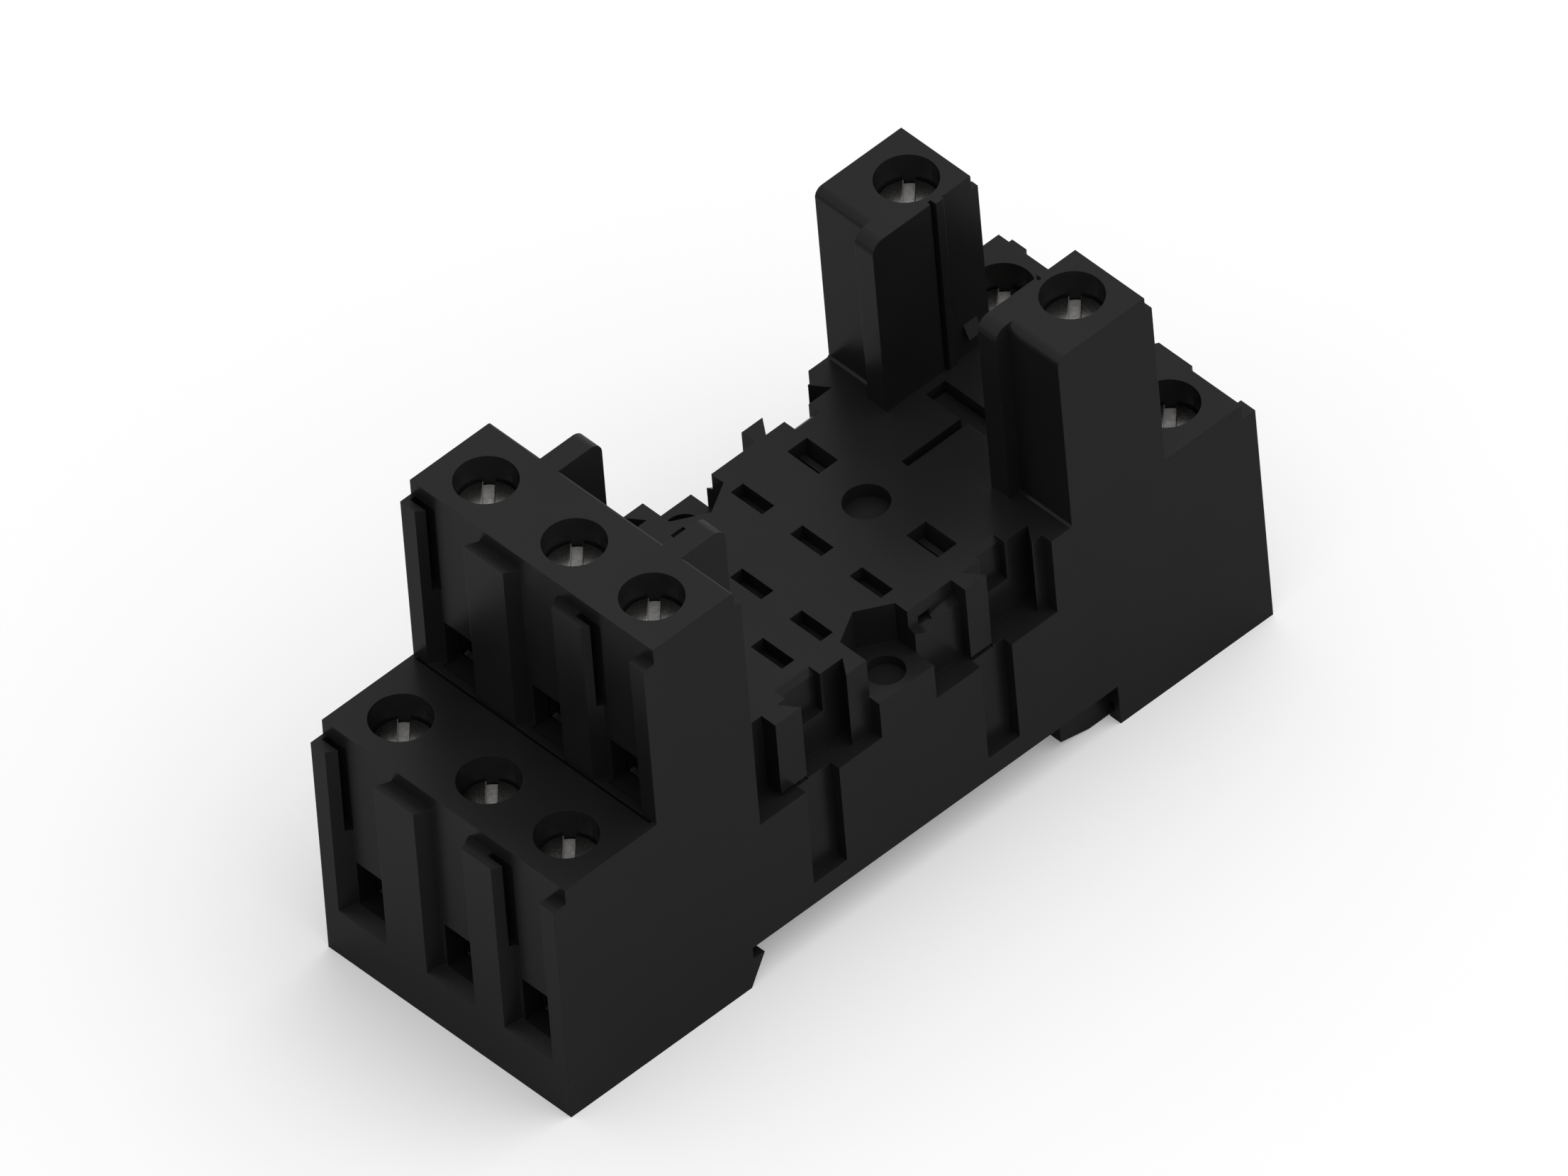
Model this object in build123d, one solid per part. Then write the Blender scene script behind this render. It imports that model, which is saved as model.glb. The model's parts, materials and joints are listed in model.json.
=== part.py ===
from build123d import *
import os
from collections import namedtuple

# Relay socket for a plug-in relay with eleven flat pins, snapped on a 35 mm rail.
# Millimetres. X runs from the front terminals to the rear ones, Y across the rail's
# length, Z up from the feet. The pieces are laid out from the front face and moved at
# the end, so that the origin is at the middle of the underside.

# Housing, overall
length = 74.0
width = 27.0
low_top = 23.6
high_top = 41.6
side_wall = 1.25

# Terminal rows along the housing
step_x = 11.0
high_back_x = 20.66
high_back_round = 0.24
front_screw_inset = 5.6
high_screw_inset = 5.11
rear_screw_inset = 5.05
screw_inset = 4.29
front_middle_offset = -0.6
rear_middle_offset = -0.1

# Wire pockets between the ribs of each row
low_pocket_depth = 1.31
high_pocket_depth = 1.14
tower_pocket_depth = 0.66
pocket_width = 5.4
rib_drop = 1.5
ledge_height = 4.95
ledge_rise = 0.5
slit_depth = 1.2
slit_width = 0.48
slit_bite = 0.23
slit_length = 8.7

# Wire entries, from the top face of their row
entry_width = 3.4
entry_height = 4.5
entry_drop = 13.65

# Screws and their wells
well_radius = 2.6
head_radius = 2.5
head_sink = 2.5
head_height = 2.6
head_round = 0.3
slot_width = 0.95
slot_depth = 0.5
slot_turn = 45.0
shank_radius = 1.5
thread_gap = 0.05
neck_gap = 0.09
seat_gap = 0.02

# Rising clamps
clamp_width = 5.0
clamp_length = 4.6
clamp_wall = 0.8
clamp_nut = 1.5
clamp_travel = 4.2
clamp_gap = 0.2
clamp_round = 0.8

# Contacts
strip = 0.7
strip_width = 3.0
strip_gap = 0.05
strip_side_gap = 0.15
tongue_above_entry = 0.4
tongue_gap = 0.25
bend = 0.9
upper_bus_z = 16.4
jog_low_z = 18.0
jog_high_z = 20.6
leaf = 0.4
fork_half = 1.0
fork_neck = 0.44
fork_flare = 0.85
fork_drop = 2.8

# Relay seat: deck, pin slots and guides
deck_thick = 2.3
pin_pitch = 6.6
row_a_x = 40.2
row_ab = 6.35
row_bc = 4.07
coil_ahead = 6.35
pin_slot_length = 3.5
pin_slot_width = 1.3
pin_opening = 0.88
slot_floor_depth = 1.43
coil_slot_width = 2.06
coil_pin_offset = 0.43
coil_bar_start = 0.09
coil_bar_width = 0.59
coil_wall_lean = 0.2
coil_bar_depth = 1.5
coil_bar_height = 0.9
key_hole_ahead = 5.75
key_hole_radius = 1.93
key_hole_depth = 1.4

# Guides that hold the relay
guide_inner = 5.83
guide_width = 2.02
guide_back_reach = 4.39
guide_round = 1.15
guide_front_reach = 1.2
back_rib_reach = 0.64
back_rib_width = 1.53

# Towers
tower_length = 9.17
tower_back_inset = 10.03
tower_round = 0.8
tower_foot = 0.18
tower_screw_inset = 3.53
tower_groove_ahead = 4.22
tower_groove_width = 0.35
tower_groove_depth = 0.35
pilaster_width = 0.8
pilaster_proud = 0.25
catch_ahead = 2.0
catch_length = 1.4
catch_reach = 0.6
catch_low_z = 2.05
catch_high_z = 3.3

# Module slot in the deck between the towers
module_slot_length = 6.25
module_slot_y = 0.44
module_slot_width = 0.76
module_slot_depth = 2.0
tray_behind = 2.2
tray_length = 2.05
tray_left_y = 5.11
tray_right_y = -4.2
tray_depth = 1.0
trench_width = 0.16
trench_depth = 1.7

# Recesses in the two sides, over their floor
side_floor = 16.0
side_front_x = 21.28
back_wall_in = 2.63
tongue_in = 1.07
post_in = 1.07
side_bevel = 1.1
tongue_front_x = 24.55
tongue_length = 2.71
first_slot_mouth = 4.74
hex_front_x = 34.15
hex_length = 5.75
hex_floor = 19.6
hex_near_in = 4.0
hex_far_in = 5.65
hex_hole_ahead = 2.85
hex_hole_in = 2.33
hex_hole_radius = 1.6
hex_hole_depth = 0.95
cam_length = 4.65
cam_in = 1.93
cam_top = 21.62
cam_dip = 0.66
cam_dip_ahead = 1.5
cam_rise_length = 2.2
cam_back_rise = 0.35
second_tongue_length = 2.22
second_slot_mouth = 4.78
second_post = 1.07
window_floor = 19.62
window_in = 0.74
window_chamfer = 0.5
first_window_x = 27.1
first_window_length = 3.6
second_window_x = 47.6
second_window_length = 2.55
peep_x = 40.93
peep_length = 1.17
peep_low_z = 21.4
peep_height = 0.9
tongue_lift = 0.25
groove_low_z = 6.1
groove_depth = 1.0
first_groove_x = 26.1
first_groove_length = 3.5
second_groove_x = 44.5
second_groove_length = 3.3

# Rail recess and the cover below
rail_width = 35.0
rail_ceiling = 4.0
rail_shift = 0.05
hook_reach = 1.19
hook_low_z = 2.8
hook_heel = 0.4
foot_behind = 3.5
cover_thick = 1.6
cover_gap = 0.05
end_wall = 1.35
cover_rear_thick = 1.3
clamp_clear = 0.35
snap_length = 4.0
snap_reach = 0.5

# Rail latch and its spring
latch_travel = 2.5
latch_gap = 0.1
nose_bite = 1.54
nose_under = 0.78
nose_ramp = 2.9
rail_play = 0.3
shoulder_length = 2.85
latch_tail_inset = 0.6
latch_slot_ahead = 2.25
latch_slot_half = 2.2
peg_inset = 6.0
peg_length = 1.5
peg_half = 1.9
runner_reach = 0.5
runner_height = 0.8
runner_ahead = 0.45
driver_slot_inset = 3.0
driver_slot_length = 1.2
driver_slot_half = 3.0
spring_wire = 0.45
spring_half = 1.5
spring_pitch = 0.72
spring_end_gap = 0.1

half_width = width / 2
beyond = 1.0
low_wall_x = low_pocket_depth
high_wall_x = step_x + high_pocket_depth
rear_wall_x = length - low_pocket_depth
row_b_x = row_a_x - row_ab
row_c_x = row_b_x - row_bc
pin_shift = (pin_opening - pin_slot_width) / 2
coil_x = row_a_x + coil_ahead
coil_pin_x = coil_x - coil_pin_offset
inner_half = half_width - side_wall
screw_column = half_width - screw_inset
tower_back_x = length - tower_back_inset
tower_front_x = tower_back_x - tower_length
tower_groove_x = tower_back_x - tower_groove_ahead
tray_x = tower_front_x + tray_behind
tray_back_x = tray_x + tray_length
rail_notch_x = (length - rail_width) / 2 - rail_shift
foot_x = rail_notch_x + rail_width + foot_behind
shoulder_x = rail_notch_x + rail_width + rail_play
shoulder_end = shoulder_x + shoulder_length
cover_rear_x = shoulder_end + latch_travel + latch_gap + cover_rear_thick
lowest_clamp_z = low_top - entry_drop - entry_height - clamp_gap - clamp_wall
cover_rear_under = lowest_clamp_z - clamp_clear - cover_rear_thick
latch_slot_x = foot_x + latch_slot_ahead
peg_x = length - peg_inset
runner_x = foot_x + runner_ahead
runner_end = peg_x
runner_low_z = (cover_rear_under - runner_height) / 2

# How far each rib's low and high side lean along Y, from its front to the wall behind it.
rib_leans = [(-0.94, 0.0), (-0.66, -0.54), (-0.66, 0.64), (0.0, 0.0)]
upright_rib = (0.0, 0.0)

Terminal = namedtuple("Terminal", "name x y top facing wall_x mouth_x pin_x pin_y")


def block(x, y, z):
    """Box between the low and high value on each axis."""
    corner = Pos(x[0], y[0], z[0])
    return corner * Box(x[1] - x[0], y[1] - y[0], z[1] - z[0], align=(Align.MIN,) * 3)


def along_width(points, y):
    """Outline in X and Z, run from y[0] to y[1]."""
    face = Plane.XZ * Polygon(*points, align=None)
    return Pos(0, y[0], 0) * extrude(face, amount=y[1] - y[0], dir=(0, 1, 0))


def along_length(points, x):
    """Outline in Y and Z, run from x[0] to x[1]."""
    face = Plane.YZ * Polygon(*points, align=None)
    return Pos(x[0], 0, 0) * extrude(face, amount=x[1] - x[0], dir=(1, 0, 0))


def upright(points, z):
    """Outline in X and Y, run from z[0] to z[1]."""
    face = Polygon(*points, align=None)
    return Pos(0, 0, z[0]) * extrude(face, amount=z[1] - z[0], dir=(0, 0, 1))


def rod(x, y, z, radius):
    """Upright cylinder from z[0] to z[1]."""
    foot = Pos(x, y, z[0])
    return foot * Cylinder(radius, z[1] - z[0], align=(Align.CENTER, Align.CENTER, Align.MIN))


def both_sides(shape):
    """The shape and its mirror image across the socket's middle plane."""
    return [shape, mirror(shape, about=Plane.XZ)]


def lay_out_terminals():
    """The eleven terminals, each with the pin slot that its contact serves."""
    front_x = front_screw_inset
    high_x = step_x + high_screw_inset
    rear_x = length - rear_screw_inset
    tower_x = tower_back_x - tower_screw_inset
    rows = []
    for side, y, pin_y in (
        ("left", screw_column, pin_pitch),
        ("middle", front_middle_offset, 0.0),
        ("right", -screw_column, -pin_pitch),
    ):
        low = Terminal(f"low_{side}", front_x, y, low_top, -1, low_wall_x, 0.0, row_b_x + pin_shift, pin_y)
        pin_x = row_c_x + pin_shift
        high = Terminal(f"high_{side}", high_x, y, high_top, -1, high_wall_x, step_x, pin_x, pin_y)
        rear_y = rear_middle_offset if side == "middle" else y
        pin_x = row_a_x + pin_shift
        rear = Terminal(f"rear_{side}", rear_x, rear_y, low_top, 1, rear_wall_x, length, pin_x, pin_y)
        rows += [low, high, rear]
        if side != "middle":
            mouth = tower_back_x + tower_pocket_depth
            coil = Terminal(
                f"coil_{side}", tower_x, y, high_top, 1, tower_back_x, mouth, coil_pin_x, pin_y
            )
            rows.append(coil)
    return rows


def heights(terminal):
    """Levels inside one terminal, all taken from its top face."""
    levels = {}
    levels["head_top"] = terminal.top - head_sink
    levels["head_under"] = levels["head_top"] - head_height
    levels["entry_high"] = terminal.top - entry_drop
    levels["entry_low"] = levels["entry_high"] - entry_height
    levels["tongue_low"] = levels["entry_high"] + tongue_above_entry
    levels["tongue_high"] = levels["tongue_low"] + strip
    levels["clamp_inner_low"] = levels["entry_low"] - clamp_gap
    levels["clamp_inner_high"] = levels["tongue_high"] + tongue_gap
    levels["clamp_low"] = levels["clamp_inner_low"] - clamp_wall
    levels["clamp_high"] = levels["clamp_inner_high"] + clamp_nut
    levels["ceiling"] = levels["clamp_high"] + clamp_travel + clamp_gap
    return levels


def is_high(terminal):
    return terminal.top > low_top


def riser_span(terminal):
    """Where a high contact comes down behind its clamp, from low X to high X."""
    near = terminal.x - terminal.facing * (clamp_length / 2 + 2 * clamp_gap)
    far = near - terminal.facing * strip
    return (min(near, far), max(near, far))


def body_block():
    """The housing's solid body: side outline with steps and rail recess, towers on top."""
    ledge_top = ledge_height + ledge_rise
    outline = [
        (0, 0),
        (0, ledge_height),
        (low_wall_x, ledge_top),
        (low_wall_x, low_top),
        (high_wall_x, low_top),
        (high_wall_x, high_top),
        (high_back_x - high_back_round, high_top),
        (high_back_x - high_back_round * 0.3, high_top - high_back_round * 0.3),
        (high_back_x, high_top - high_back_round),
        (high_back_x, low_top),
        (rear_wall_x, low_top),
        (rear_wall_x, ledge_top),
        (length, ledge_height),
        (length, 0),
        (foot_x, 0),
        (foot_x, rail_ceiling),
        (rail_notch_x, rail_ceiling),
        (rail_notch_x, hook_low_z + 2 * cover_gap),
        (rail_notch_x + hook_reach, hook_low_z),
        (rail_notch_x - hook_heel, 0),
    ]
    return along_width(outline, (-half_width, half_width))


def front_rib(x, depth, y, lean, bottom, top):
    """Rib between two wire pockets; its sides lean as they run to the wall behind it."""
    back = x + depth
    outline = [(x, y[0]), (x, y[1]), (back, y[1] + lean[1]), (back, y[0] + lean[0])]
    return upright(outline, (bottom, top - rib_drop))


def pocket_edges(rows):
    """The ribs' spans across one row: what is left beside its wire pockets."""
    edges = [half_width]
    for y in sorted((t.y for t in rows), reverse=True):
        edges += [y + pocket_width / 2, y - pocket_width / 2]
    edges.append(-half_width)
    spans = zip(edges[0::2], edges[1::2])
    return [(low, high) for high, low in spans]


def rib_slit(x, y, top):
    """Undercut behind the head of a rib, on the rib's right side."""
    span = (y - beyond, y + slit_depth)
    return block((x - slit_width, x + slit_bite), span, (top - rib_drop - slit_length, top - rib_drop))


def rounded_tip(guide, end):
    """Guide with its top edge rounded at one end, the low X end if end is 0."""
    edges = guide.edges().filter_by(Axis.Y).sort_by(Axis.Z)[-2:].sort_by(Axis.X)
    return fillet(edges[end], guide_round)


def tower(side):
    """One tower with its rounded front edge, guide, rear ribs and clip guides."""
    low_y = guide_inner if side > 0 else -half_width
    high_y = half_width if side > 0 else -guide_inner
    shaft = block((tower_front_x, tower_back_x), (low_y, high_y), (low_top - deck_thick, high_top))
    front_top = shaft.edges().filter_by(Axis.Y).sort_by(Axis.Z)[-2:].sort_by(Axis.X)[0]
    shaft = fillet(front_top, tower_round)
    foot = [
        (tower_front_x - tower_foot, low_top),
        (tower_front_x, low_top),
        (tower_front_x, low_top + tower_foot),
    ]
    shaft += along_width(foot, (low_y, high_y))
    guide_x = tower_front_x - guide_front_reach
    guide_y = sorted((side * guide_inner, side * (guide_inner + guide_width)))
    guide = block((guide_x, tower_front_x + guide_round), guide_y, (low_top, high_top))
    shaft += rounded_tip(guide, 0)
    pocket_centre = side * screw_column
    edges = sorted((low_y, high_y, pocket_centre - pocket_width / 2, pocket_centre + pocket_width / 2))
    for rib_y in ((edges[0], edges[1]), (edges[2], edges[3])):
        mouth_x = tower_back_x + tower_pocket_depth
        shaft += front_rib(mouth_x, -tower_pocket_depth, rib_y, upright_rib, low_top, high_top)
    inner = side * guide_inner
    pilaster_x = tower_groove_x + tower_groove_width
    proud = sorted((inner, inner - side * pilaster_proud))
    shaft += block((pilaster_x, pilaster_x + pilaster_width), proud, (low_top, high_top))
    catch = [
        (inner, low_top + catch_high_z),
        (inner - side * catch_reach, low_top + catch_low_z),
        (inner, low_top + catch_low_z),
    ]
    catch_x = tower_back_x - catch_ahead
    shaft += along_length(catch, (catch_x, catch_x + catch_length))
    sunk = sorted((inner, inner + side * tower_groove_depth))
    groove_x = (tower_groove_x, tower_groove_x + tower_groove_width)
    return shaft - block(groove_x, sunk, (low_top, high_top + beyond))


def back_guides():
    """Ears and outer ribs behind the high tier, which guide the relay's front."""
    tip_x = high_back_x + guide_back_reach
    ear_y = (guide_inner, guide_inner + guide_width)
    ear = block((high_back_x - guide_round, tip_x), ear_y, (low_top, high_top))
    pieces = both_sides(rounded_tip(ear, 1))
    rib = block(
        (high_back_x, high_back_x + back_rib_reach),
        (half_width - back_rib_width, half_width),
        (low_top, high_top - rib_drop),
    )
    return pieces + both_sides(rib)


def front_ribs(terminals):
    """All ribs of the three full-width rows, with the undercut slits of the front ones."""
    ribs, slits = [], []
    for row, bottom in (("low", 0.0), ("high", low_top), ("rear", 0.0)):
        members = [t for t in terminals if t.name.startswith(row)]
        mouth, wall = members[0].mouth_x, members[0].wall_x
        top = members[0].top
        spans = pocket_edges(members)
        low_z = bottom if row == "high" else ledge_height - ledge_rise
        for span, lean in zip(spans, rib_leans):
            ribs.append(front_rib(mouth, wall - mouth, span, lean, low_z, top))
        if row != "rear":
            slits += [rib_slit(wall, spans[index][0], top) for index in (0, 2)]
    return ribs, slits


def side_cuts():
    """Everything cut into the right-hand side of the housing above its recess floors."""
    face = -half_width
    out = face - beyond
    wall = face + back_wall_in
    tongue = face + tongue_in
    top = low_top + beyond
    tongue_end = tongue_front_x + tongue_length
    post_start = tongue_end + first_slot_mouth
    first = [
        (side_front_x, out),
        (side_front_x, wall),
        (tongue_front_x, wall),
        (tongue_front_x, tongue),
        (tongue_end, tongue),
        (tongue_end - side_bevel, wall),
        (post_start + side_bevel, wall),
        (post_start, tongue),
        (hex_front_x, tongue),
        (hex_front_x, out),
    ]
    cuts = [upright(first, (side_floor, top))]
    hex_back_x = hex_front_x + hex_length
    hexagon = [
        (hex_front_x, out),
        (hex_front_x, face + hex_near_in),
        (hex_front_x + hex_length / 2, face + hex_far_in),
        (hex_back_x, face + hex_near_in),
        (hex_back_x, out),
    ]
    cuts.append(upright(hexagon, (hex_floor, top)))
    cam_back_x = hex_back_x + cam_length
    second_tongue_end = cam_back_x + second_tongue_length
    second_post_x = second_tongue_end + second_slot_mouth
    cam = face + cam_in
    second = [
        (hex_back_x, out),
        (hex_back_x, cam),
        (cam_back_x, cam),
        (cam_back_x, tongue),
        (second_tongue_end, tongue),
        (second_tongue_end - side_bevel, wall),
        (second_post_x + side_bevel, wall),
        (second_post_x, tongue),
        (second_post_x + second_post, tongue),
        (second_post_x + second_post, out),
    ]
    cuts.append(upright(second, (side_floor, top)))
    dip_x = hex_back_x + cam_dip_ahead
    rise_end = dip_x + cam_rise_length
    curve = Spline(
        (hex_back_x, cam_top),
        (dip_x, cam_top - cam_dip),
        (rise_end, cam_top),
        tangents=((1, -0.7), (1, 0)),
    )
    rim = Polyline(
        (rise_end, cam_top),
        (cam_back_x, cam_top),
        (cam_back_x, top + beyond),
        (hex_back_x, top + beyond),
        (hex_back_x, cam_top),
    )
    cam_face = Plane.XZ.offset(-cam) * make_face([*curve.edges(), *rim.edges()])
    cam_run = Vector(0, back_wall_in - cam_in, cam_back_rise)
    cuts.append(extrude(cam_face, amount=cam_run.length, dir=cam_run.normalized()))
    window_back = wall + window_in
    window = [
        (wall - beyond / 2, window_floor),
        (window_back, window_floor),
        (window_back, low_top - window_chamfer),
        (window_back + window_chamfer + beyond, low_top + beyond),
        (wall - beyond / 2, low_top + beyond),
    ]
    cuts.append(along_length(window, (first_window_x, first_window_x + first_window_length)))
    cuts.append(along_length(window, (second_window_x, second_window_x + second_window_length)))
    peep_z = (peep_low_z, peep_low_z + peep_height)
    cuts.append(block((peep_x, peep_x + peep_length), (wall - beyond / 4, wall + window_in), peep_z))
    for start, end in ((tongue_front_x, tongue_end), (cam_back_x, second_tongue_end)):
        lift = (side_floor - tongue_lift / 2, side_floor + tongue_lift)
        cuts.append(block((start, end), (tongue - beyond / 4, tongue + beyond / 2), lift))
    for start, run in (
        (first_groove_x, first_groove_length),
        (second_groove_x, second_groove_length),
    ):
        groove_z = (groove_low_z, side_floor + beyond)
        cuts.append(block((start, start + run), (out, face + groove_depth), groove_z))
    hole_x = hex_front_x + hex_hole_ahead
    hole_z = (hex_floor - hex_hole_depth, top)
    cuts.append(rod(hole_x, face + hex_hole_in, hole_z, hex_hole_radius))
    return cuts


def deck_cuts():
    """Pin slots, coil slots, key hole and module slot in the deck."""
    under = low_top - deck_thick - beyond
    over = low_top + beyond
    cuts = []
    slot_half = pin_slot_length / 2
    for x in (row_a_x, row_b_x, row_c_x):
        left = x - pin_slot_width / 2
        for y in (pin_pitch, 0.0, -pin_pitch):
            span = (y - slot_half, y + slot_half)
            pocket = (left, left + pin_slot_width)
            cuts.append(block(pocket, span, (low_top - slot_floor_depth, over)))
            cuts.append(block((left, left + pin_opening), span, (under, over)))
    for side in (1, -1):
        y = side * pin_pitch
        span = (y - slot_half, y + slot_half)
        coil = (coil_x - coil_slot_width / 2, coil_x + coil_slot_width / 2)
        cuts.append(block(coil, span, (under, over)))
    hole_x = row_a_x + key_hole_ahead
    cuts.append(rod(hole_x, 0, (low_top - key_hole_depth, over), key_hole_radius))
    module_y = (module_slot_y, module_slot_y + module_slot_width)
    module_x = (tray_x - module_slot_length, tray_x)
    cuts.append(block(module_x, module_y, (low_top - module_slot_depth, over)))
    tray_z = (low_top - tray_depth, over)
    cuts.append(block((tray_x, tray_back_x), (tray_right_y, tray_left_y), tray_z))
    trench_z = (low_top - trench_depth, over)
    back_trench = (tray_back_x - trench_width, tray_back_x)
    cuts.append(block(back_trench, (tray_right_y, tray_left_y), trench_z))
    left_trench = (tray_left_y - trench_width, tray_left_y)
    cuts.append(block((tray_x, tray_back_x), left_trench, trench_z))
    seam_x = (step_x - low_wall_x / 5, step_x)
    seam_y = (-half_width + slit_width, half_width - slit_width)
    cuts.append(block(seam_x, seam_y, (low_top - trench_depth / 2, low_top + beyond / 50)))
    return cuts


def coil_bars():
    """Bars inside the coil slots that narrow them to the pin, and the leaning wall beside."""
    low_x = coil_x + coil_bar_start
    high_z = low_top - coil_bar_depth
    half = pin_slot_length / 2 + strip_gap
    span = (pin_pitch - half, pin_pitch + half)
    bar = block((low_x, low_x + coil_bar_width), span, (high_z - coil_bar_height, high_z))
    wall_x = coil_x + coil_slot_width / 2
    wedge = [
        (wall_x, low_top),
        (wall_x - coil_wall_lean, high_z),
        (wall_x - coil_wall_lean, low_top - deck_thick),
        (wall_x + strip_gap, low_top - deck_thick),
        (wall_x + strip_gap, low_top),
    ]
    return both_sides(bar) + both_sides(along_width(wedge, span))


def cover_outline(gap):
    """Side outline of the base cover, grown by a gap where it meets the housing."""
    inner_x = rail_notch_x - cover_thick
    under = -beyond if gap else 0.0
    top = rail_ceiling + cover_thick + gap
    rear_top = cover_rear_under + cover_rear_thick + gap
    end_x = length - end_wall - (0 if gap else cover_gap)
    start_x = end_wall + (0 if gap else cover_gap)
    upper = [
        (start_x, under),
        (start_x, cover_thick + gap),
        (inner_x - gap, cover_thick + gap),
        (inner_x - gap, top),
        (cover_rear_x + gap, top),
        (cover_rear_x + gap, rear_top),
        (end_x, rear_top),
    ]
    if gap:
        lower = [(end_x, cover_rear_under + gap), (length + beyond, cover_rear_under + gap)]
        lower.append((length + beyond, under))
        return upper + lower
    rear_start = cover_rear_x - cover_rear_thick
    return upper + [
        (end_x, cover_rear_under),
        (rear_start, cover_rear_under),
        (rear_start, rail_ceiling),
        (rail_notch_x, rail_ceiling),
        (rail_notch_x, hook_low_z + 2 * cover_gap),
        (rail_notch_x + hook_reach, hook_low_z),
        (rail_notch_x - hook_heel, 0),
    ]


def snap_places():
    """Middle X and underside Z of the cover's snap lugs."""
    front = (end_wall + rail_notch_x) / 2
    middle_z = rail_ceiling + cover_gap
    return [(front, cover_gap), (row_c_x, middle_z), (coil_x, middle_z)]


def snap(x, z, gap):
    """Wedge lug on the cover's right edge, or its pocket in the housing wall."""
    reach = inner_half + snap_reach + gap
    low_z, high_z = z - gap, z + cover_thick - cover_gap + gap
    wedge = [
        (snap_reach - inner_half, low_z),
        (-reach, low_z),
        (-inner_half, high_z),
        (snap_reach - inner_half, high_z),
    ]
    half = snap_length / 2 + gap
    return along_length(wedge, (x - half, x + half))


def terminal_cuts(terminal):
    """Well, neck, clamp chamber, wire entry and contact channel of one terminal."""
    z = heights(terminal)
    x, y = terminal.x, terminal.y
    cuts = [
        rod(x, y, (z["head_under"] - seat_gap, terminal.top + beyond), well_radius),
        rod(x, y, (z["ceiling"] - beyond, z["head_under"]), shank_radius + neck_gap),
    ]
    half_x = clamp_length / 2 + clamp_gap
    half_y = clamp_width / 2 + clamp_gap
    cuts.append(block((x - half_x, x + half_x), (y - half_y, y + half_y), (0, z["ceiling"])))
    entry_x = sorted((x, terminal.wall_x + terminal.facing * beyond / 2))
    entry_y = (y - entry_width / 2, y + entry_width / 2)
    cuts.append(block(entry_x, entry_y, (z["entry_low"], z["entry_high"])))
    half = strip_width / 2 + strip_side_gap
    fork = fork_half + leaf / 2 + strip_side_gap
    pin_x, pin_y = terminal.pin_x, terminal.pin_y
    pin_span = (pin_y - pin_slot_length / 2, pin_y + pin_slot_length / 2)
    slot_far = coil_x + coil_slot_width / 2 if terminal.name.startswith("coil") else pin_x + fork
    cuts.append(block((pin_x - fork, slot_far), pin_span, (0, low_top - deck_thick)))
    start = x - terminal.facing * half_x
    if is_high(terminal):
        riser = riser_span(terminal)
        slot_x = (riser[0] - strip_side_gap, riser[1] + strip_side_gap)
        top = z["tongue_high"] + strip_gap
        link = sorted((x, slot_x[0] if terminal.facing > 0 else slot_x[1]))
        cuts.append(block(link, (y - half, y + half), (0, top)))
        across = (min(y, pin_y) - half, max(y, pin_y) + half)
        cuts.append(block(slot_x, across, (0, jog_high_z)))
        run = sorted((pin_x, slot_x[1] if terminal.facing > 0 else slot_x[0]))
        bus_top = upper_bus_z + strip + strip_gap
        cuts.append(block(run, (pin_y - half, pin_y + half), (0, bus_top)))
        return cuts
    bus_top = z["tongue_high"] + strip_gap
    path = bus_path(start, y, pin_x, pin_y)
    channel = trace(path, line_width=2 * half)
    cuts.append(extrude(channel, amount=bus_top, dir=(0, 0, 1)))
    return cuts


def bus_path(start_x, start_y, end_x, end_y):
    """Plan line of a flat strip that steps sideways from its terminal to its pin."""
    run = end_x - start_x
    points = [
        (start_x, start_y),
        (start_x + 0.25 * run, start_y),
        (start_x + 0.5 * run, end_y),
        (end_x, end_y),
    ]
    return FilletPolyline(*points, radius=strip_width)


def bent_strip(points, y, radius):
    """Strip bent in X and Z, its middle line through the points."""
    line = FilletPolyline(*points, radius=radius)
    face = Plane.XZ * trace(line, line_width=strip)
    return Pos(0, y - strip_width / 2, 0) * extrude(face, amount=strip_width, dir=(0, 1, 0))


def fork(pin_x, pin_y, base_z):
    """Two sprung leaves that grip a relay pin, on a foot at base_z."""
    top = low_top - fork_drop
    leaves = []
    for side in (-1, 1):
        points = [
            (pin_x + side * fork_half, base_z),
            (pin_x + side * fork_half, top - 3 * fork_half),
            (pin_x + side * fork_neck, top - fork_half),
            (pin_x + side * fork_flare, top),
        ]
        line = FilletPolyline(*points, radius=leaf)
        face = Plane.XZ * trace(line, line_width=leaf)
        moved = Pos(0, pin_y - strip_width / 2, 0)
        leaves.append(moved * extrude(face, amount=strip_width, dir=(0, 1, 0)))
    return leaves


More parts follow.
